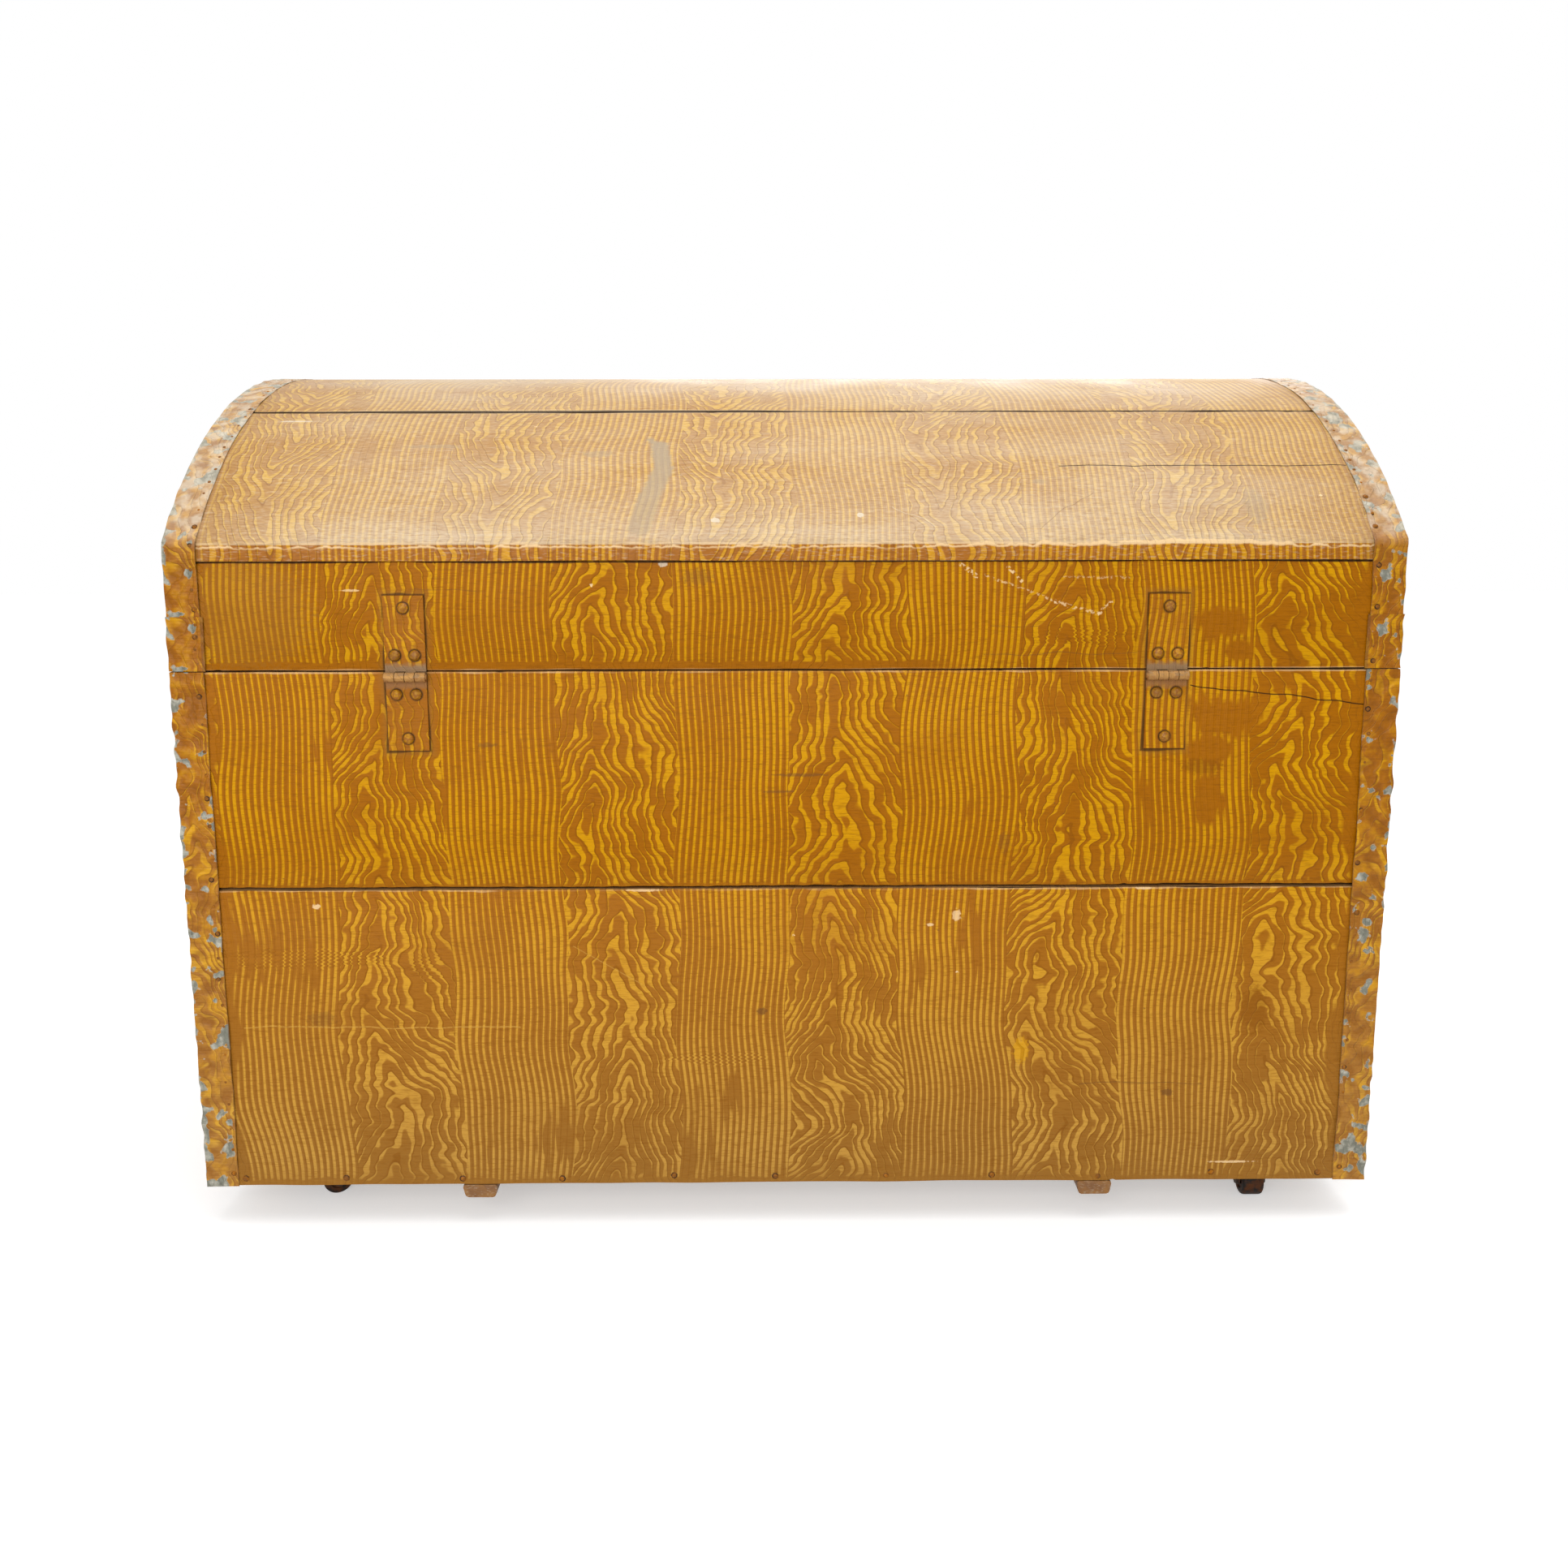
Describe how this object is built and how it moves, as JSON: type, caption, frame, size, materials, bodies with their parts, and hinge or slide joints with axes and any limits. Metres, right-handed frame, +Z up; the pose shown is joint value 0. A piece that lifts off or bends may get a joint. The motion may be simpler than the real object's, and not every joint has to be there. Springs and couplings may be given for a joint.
{
  "type": "dome top trunk",
  "caption": "Dome top storage trunk in comb-grained painted pine with sheet-metal edge strips, strap hinges, end handles and small castors; the lid opens.",
  "frame": {"origin": "on the floor under the middle of the trunk's boards", "axes": "+Z up, +X to the right seen from the front, +Y towards the back, where the hinges are"},
  "size_m": [1.04, 0.6594, 0.7365],
  "materials": {
    "grained_paint": "yellow comb-grained oil paint on pine boards",
    "bare_pine": "aged unpainted pine inside and underneath",
    "painted_zinc": "zinc-coated sheet, painted with the boards and flaked",
    "painted_iron": "wrought iron strap hinge, painted over",
    "worn_iron": "old iron, dark and rubbed bright at the edges",
    "roller_iron": "dark cast iron roller"
  },
  "bodies": {
    "trunk_body": {"front_board_lower": "grained_paint", "front_board_upper": "grained_paint", "back_board_lower": "grained_paint", "back_board_upper": "grained_paint", "left_end_board_lower": "grained_paint", "left_end_board_upper": "grained_paint", "right_end_board_lower": "grained_paint", "right_end_board_upper": "grained_paint", "bottom_board_front": "bare_pine", "bottom_board_middle": "bare_pine", "bottom_board_rear": "bare_pine", "batten_left": "grained_paint", "batten_right": "grained_paint", "corner_strip_front_left": "painted_zinc", "corner_strip_front_right": "painted_zinc", "corner_strip_back_left": "painted_zinc", "corner_strip_back_right": "painted_zinc", "hinge_body_leaf_left": "painted_iron", "hinge_body_leaf_right": "painted_iron", "hinge_pin_left": "painted_iron", "hinge_pin_right": "painted_iron", "hinge_rivets_body": "painted_iron", "lock_case": "worn_iron", "keyhole_escutcheon": "worn_iron", "handle_eyes_left": "worn_iron", "handle_eyes_right": "worn_iron", "castor_plate_front_left": "worn_iron", "castor_plate_front_right": "worn_iron", "castor_plate_back_left": "worn_iron", "castor_plate_back_right": "worn_iron"},
    "lid": {"lid_front_rail": "grained_paint", "lid_back_rail": "grained_paint", "lid_end_left": "grained_paint", "lid_end_right": "grained_paint", "dome_board_1": "grained_paint", "dome_board_2": "grained_paint", "dome_board_3": "grained_paint", "dome_board_4": "grained_paint", "dome_strip_left": "painted_zinc", "dome_strip_right": "painted_zinc", "lid_corner_strips": "painted_zinc", "hinge_lid_leaf_left": "painted_iron", "hinge_lid_leaf_right": "painted_iron", "hinge_rivets_lid": "painted_iron", "lock_keeper": "worn_iron"},
    "lock_bolt": {"lock_bolt": "worn_iron"},
    "handle_left": {"handle_bail_left": "worn_iron"},
    "handle_right": {"handle_bail_right": "worn_iron"},
    "castor_front_left": {"castor_fork_front_left": "worn_iron", "castor_axle_front_left": "worn_iron"},
    "wheel_front_left": {"castor_wheel_front_left": "roller_iron"},
    "castor_front_right": {"castor_fork_front_right": "worn_iron", "castor_axle_front_right": "worn_iron"},
    "wheel_front_right": {"castor_wheel_front_right": "roller_iron"},
    "castor_back_left": {"castor_fork_back_left": "worn_iron", "castor_axle_back_left": "worn_iron"},
    "wheel_back_left": {"castor_wheel_back_left": "roller_iron"},
    "castor_back_right": {"castor_fork_back_right": "worn_iron", "castor_axle_back_right": "worn_iron"},
    "wheel_back_right": {"castor_wheel_back_right": "roller_iron"}
  },
  "joints": [
    {"name": "lid_hinge", "type": "hinge", "parent": "trunk_body", "child": "lid", "pos_m": [0, 0.32925, 0.48], "axis": [-1, 0, 0], "range_deg": [0, 170]},
    {"name": "lock_bolt_slide", "type": "slide", "parent": "trunk_body", "child": "lock_bolt", "axis": [1, 0, 0], "range_m": [0, 0.01]},
    {"name": "handle_left_swing", "type": "hinge", "parent": "trunk_body", "child": "handle_left", "pos_m": [-0.512, 0, 0.386], "axis": [0, 1, 0], "range_deg": [-8, 185]},
    {"name": "handle_right_swing", "type": "hinge", "parent": "trunk_body", "child": "handle_right", "pos_m": [0.512, 0, 0.386], "axis": [0, -1, 0], "range_deg": [-8, 185]},
    {"name": "castor_front_left_swivel", "type": "hinge", "parent": "trunk_body", "child": "castor_front_left", "pos_m": [-0.417, -0.271, 0.03], "axis": [0, 0, 1], "continuous": true},
    {"name": "wheel_front_left_roll", "type": "hinge", "parent": "castor_front_left", "child": "wheel_front_left", "pos_m": [-0.42042, -0.2804, 0.0135], "axis": [0.9397, -0.342, 0], "continuous": true},
    {"name": "castor_front_right_swivel", "type": "hinge", "parent": "trunk_body", "child": "castor_front_right", "pos_m": [0.417, -0.271, 0.03], "axis": [0, 0, 1], "continuous": true},
    {"name": "wheel_front_right_roll", "type": "hinge", "parent": "castor_front_right", "child": "wheel_front_right", "pos_m": [0.41959, -0.28066, 0.0135], "axis": [0.9659, 0.2588, 0], "continuous": true},
    {"name": "castor_back_left_swivel", "type": "hinge", "parent": "trunk_body", "child": "castor_back_left", "pos_m": [-0.417, 0.271, 0.03], "axis": [0, 0, 1], "continuous": true},
    {"name": "wheel_back_left_roll", "type": "hinge", "parent": "castor_back_left", "child": "wheel_back_left", "pos_m": [-0.417, 0.281, 0.0135], "axis": [-1, 0, 0], "continuous": true},
    {"name": "castor_back_right_swivel", "type": "hinge", "parent": "trunk_body", "child": "castor_back_right", "pos_m": [0.417, 0.271, 0.03], "axis": [0, 0, 1], "continuous": true},
    {"name": "wheel_back_right_roll", "type": "hinge", "parent": "castor_back_right", "child": "wheel_back_right", "pos_m": [0.40834, 0.266, 0.0135], "axis": [0.5, -0.866, 0], "continuous": true}
  ]
}
